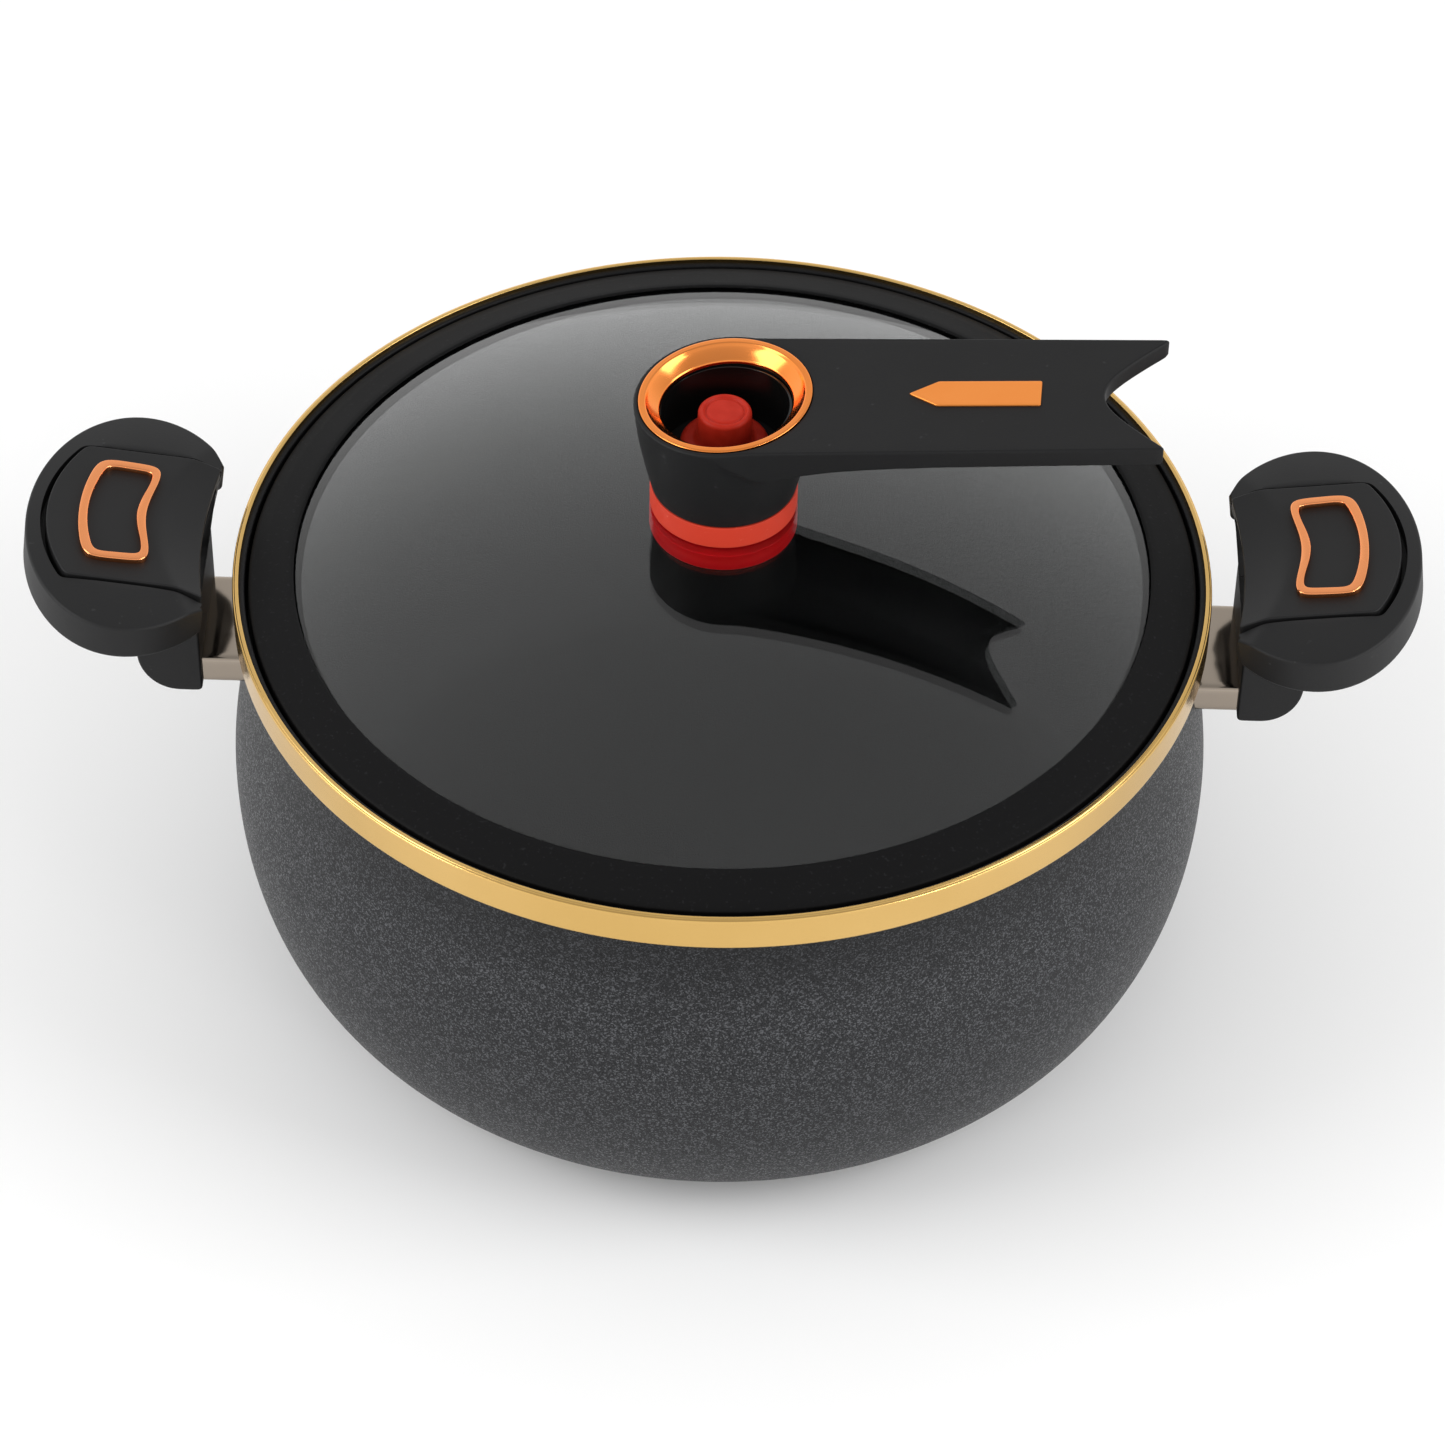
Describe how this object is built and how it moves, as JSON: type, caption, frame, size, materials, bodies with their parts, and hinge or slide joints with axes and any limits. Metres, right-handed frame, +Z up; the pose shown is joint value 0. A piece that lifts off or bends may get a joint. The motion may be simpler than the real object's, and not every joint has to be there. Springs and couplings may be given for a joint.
{
  "type": "pressure canner",
  "caption": "Low pressure stock pot with a domed glass lid in a seal ring, a weighted vent valve in the lid knob, a cantilever lid handle and sliding lid locks in two side handles.",
  "frame": {"origin": "centre of the underside of the base plate", "axes": "+Z up through the lid; +X through the right-hand side handle; +Y away from the front"},
  "size_m": [0.3824, 0.2728, 0.2028],
  "materials": {
    "coating": "satin charcoal non-stick coating with fine metallic speckle, on drawn aluminium",
    "base_steel": "turned",
    "gold_band": "polished champagne gold",
    "steel": "polished stainless steel",
    "handle_moulding": "fine matt grain, heat resistant",
    "slab_moulding": "soft matt",
    "lid_moulding": "fine matt grain, heat resistant",
    "gloss_liner": "gloss",
    "copper_trim": "copper plated, polished",
    "copper_inlay": "satin copper",
    "black_silicone": "smooth silicone",
    "red_silicone": "smooth silicone",
    "glass": "clear tempered glass with a slight grey tint"
  },
  "bodies": {
    "pot": {"pot_body": "coating", "base_plate": "base_steel", "rim_band": "gold_band", "right_ferrule": "steel", "right_weld_stud": "steel", "right_handle_neck": "handle_moulding", "right_handle_screw": "steel", "right_handle_shell": "handle_moulding", "right_shell_screw_front": "steel", "right_shell_screw_back": "steel", "left_ferrule": "steel", "left_weld_stud": "steel", "left_handle_neck": "handle_moulding", "left_handle_screw": "steel", "left_handle_shell": "handle_moulding", "left_shell_screw_front": "steel", "left_shell_screw_back": "steel"},
    "right_lock": {"right_lock_slab": "slab_moulding", "right_slab_frame": "copper_trim", "right_lock_tongue": "steel", "right_slide_keeper": "steel", "right_slide_screw": "steel"},
    "left_lock": {"left_lock_slab": "slab_moulding", "left_slab_frame": "copper_trim", "left_lock_tongue": "steel", "left_slide_keeper": "steel", "left_slide_screw": "steel"},
    "lid_ring": {"seal_ring": "black_silicone"},
    "lid": {"lid_glass": "glass", "knob_gasket": "red_silicone", "lower_gasket": "red_silicone", "clamp_washer": "steel", "clamp_nut": "steel", "lid_handle": "lid_moulding", "cup_trim": "copper_trim", "cup_liner": "gloss_liner", "pointer_inlay": "copper_inlay", "vent_tube": "steel"},
    "valve": {"valve_cap": "red_silicone", "valve_weight": "steel", "valve_clip": "steel"}
  },
  "joints": [
    {"name": "right_lock_slide", "type": "slide", "parent": "pot", "child": "right_lock", "axis": [-0.9914, 0, -0.1305], "range_m": [0, 0.0135]},
    {"name": "left_lock_slide", "type": "slide", "parent": "pot", "child": "left_lock", "axis": [0.9914, 0, -0.1305], "range_m": [0, 0.0135]},
    {"name": "lid_lift", "type": "slide", "parent": "pot", "child": "lid_ring", "axis": [0, 0, 1], "range_m": [0, 0.08]},
    {"name": "lid_turn", "type": "hinge", "parent": "lid_ring", "child": "lid", "pos_m": [0, 0, 0.13], "axis": [0, 0, 1], "continuous": true},
    {"name": "valve_lift", "type": "slide", "parent": "lid", "child": "valve", "axis": [0, 0, 1], "range_m": [0, 0.003]}
  ]
}
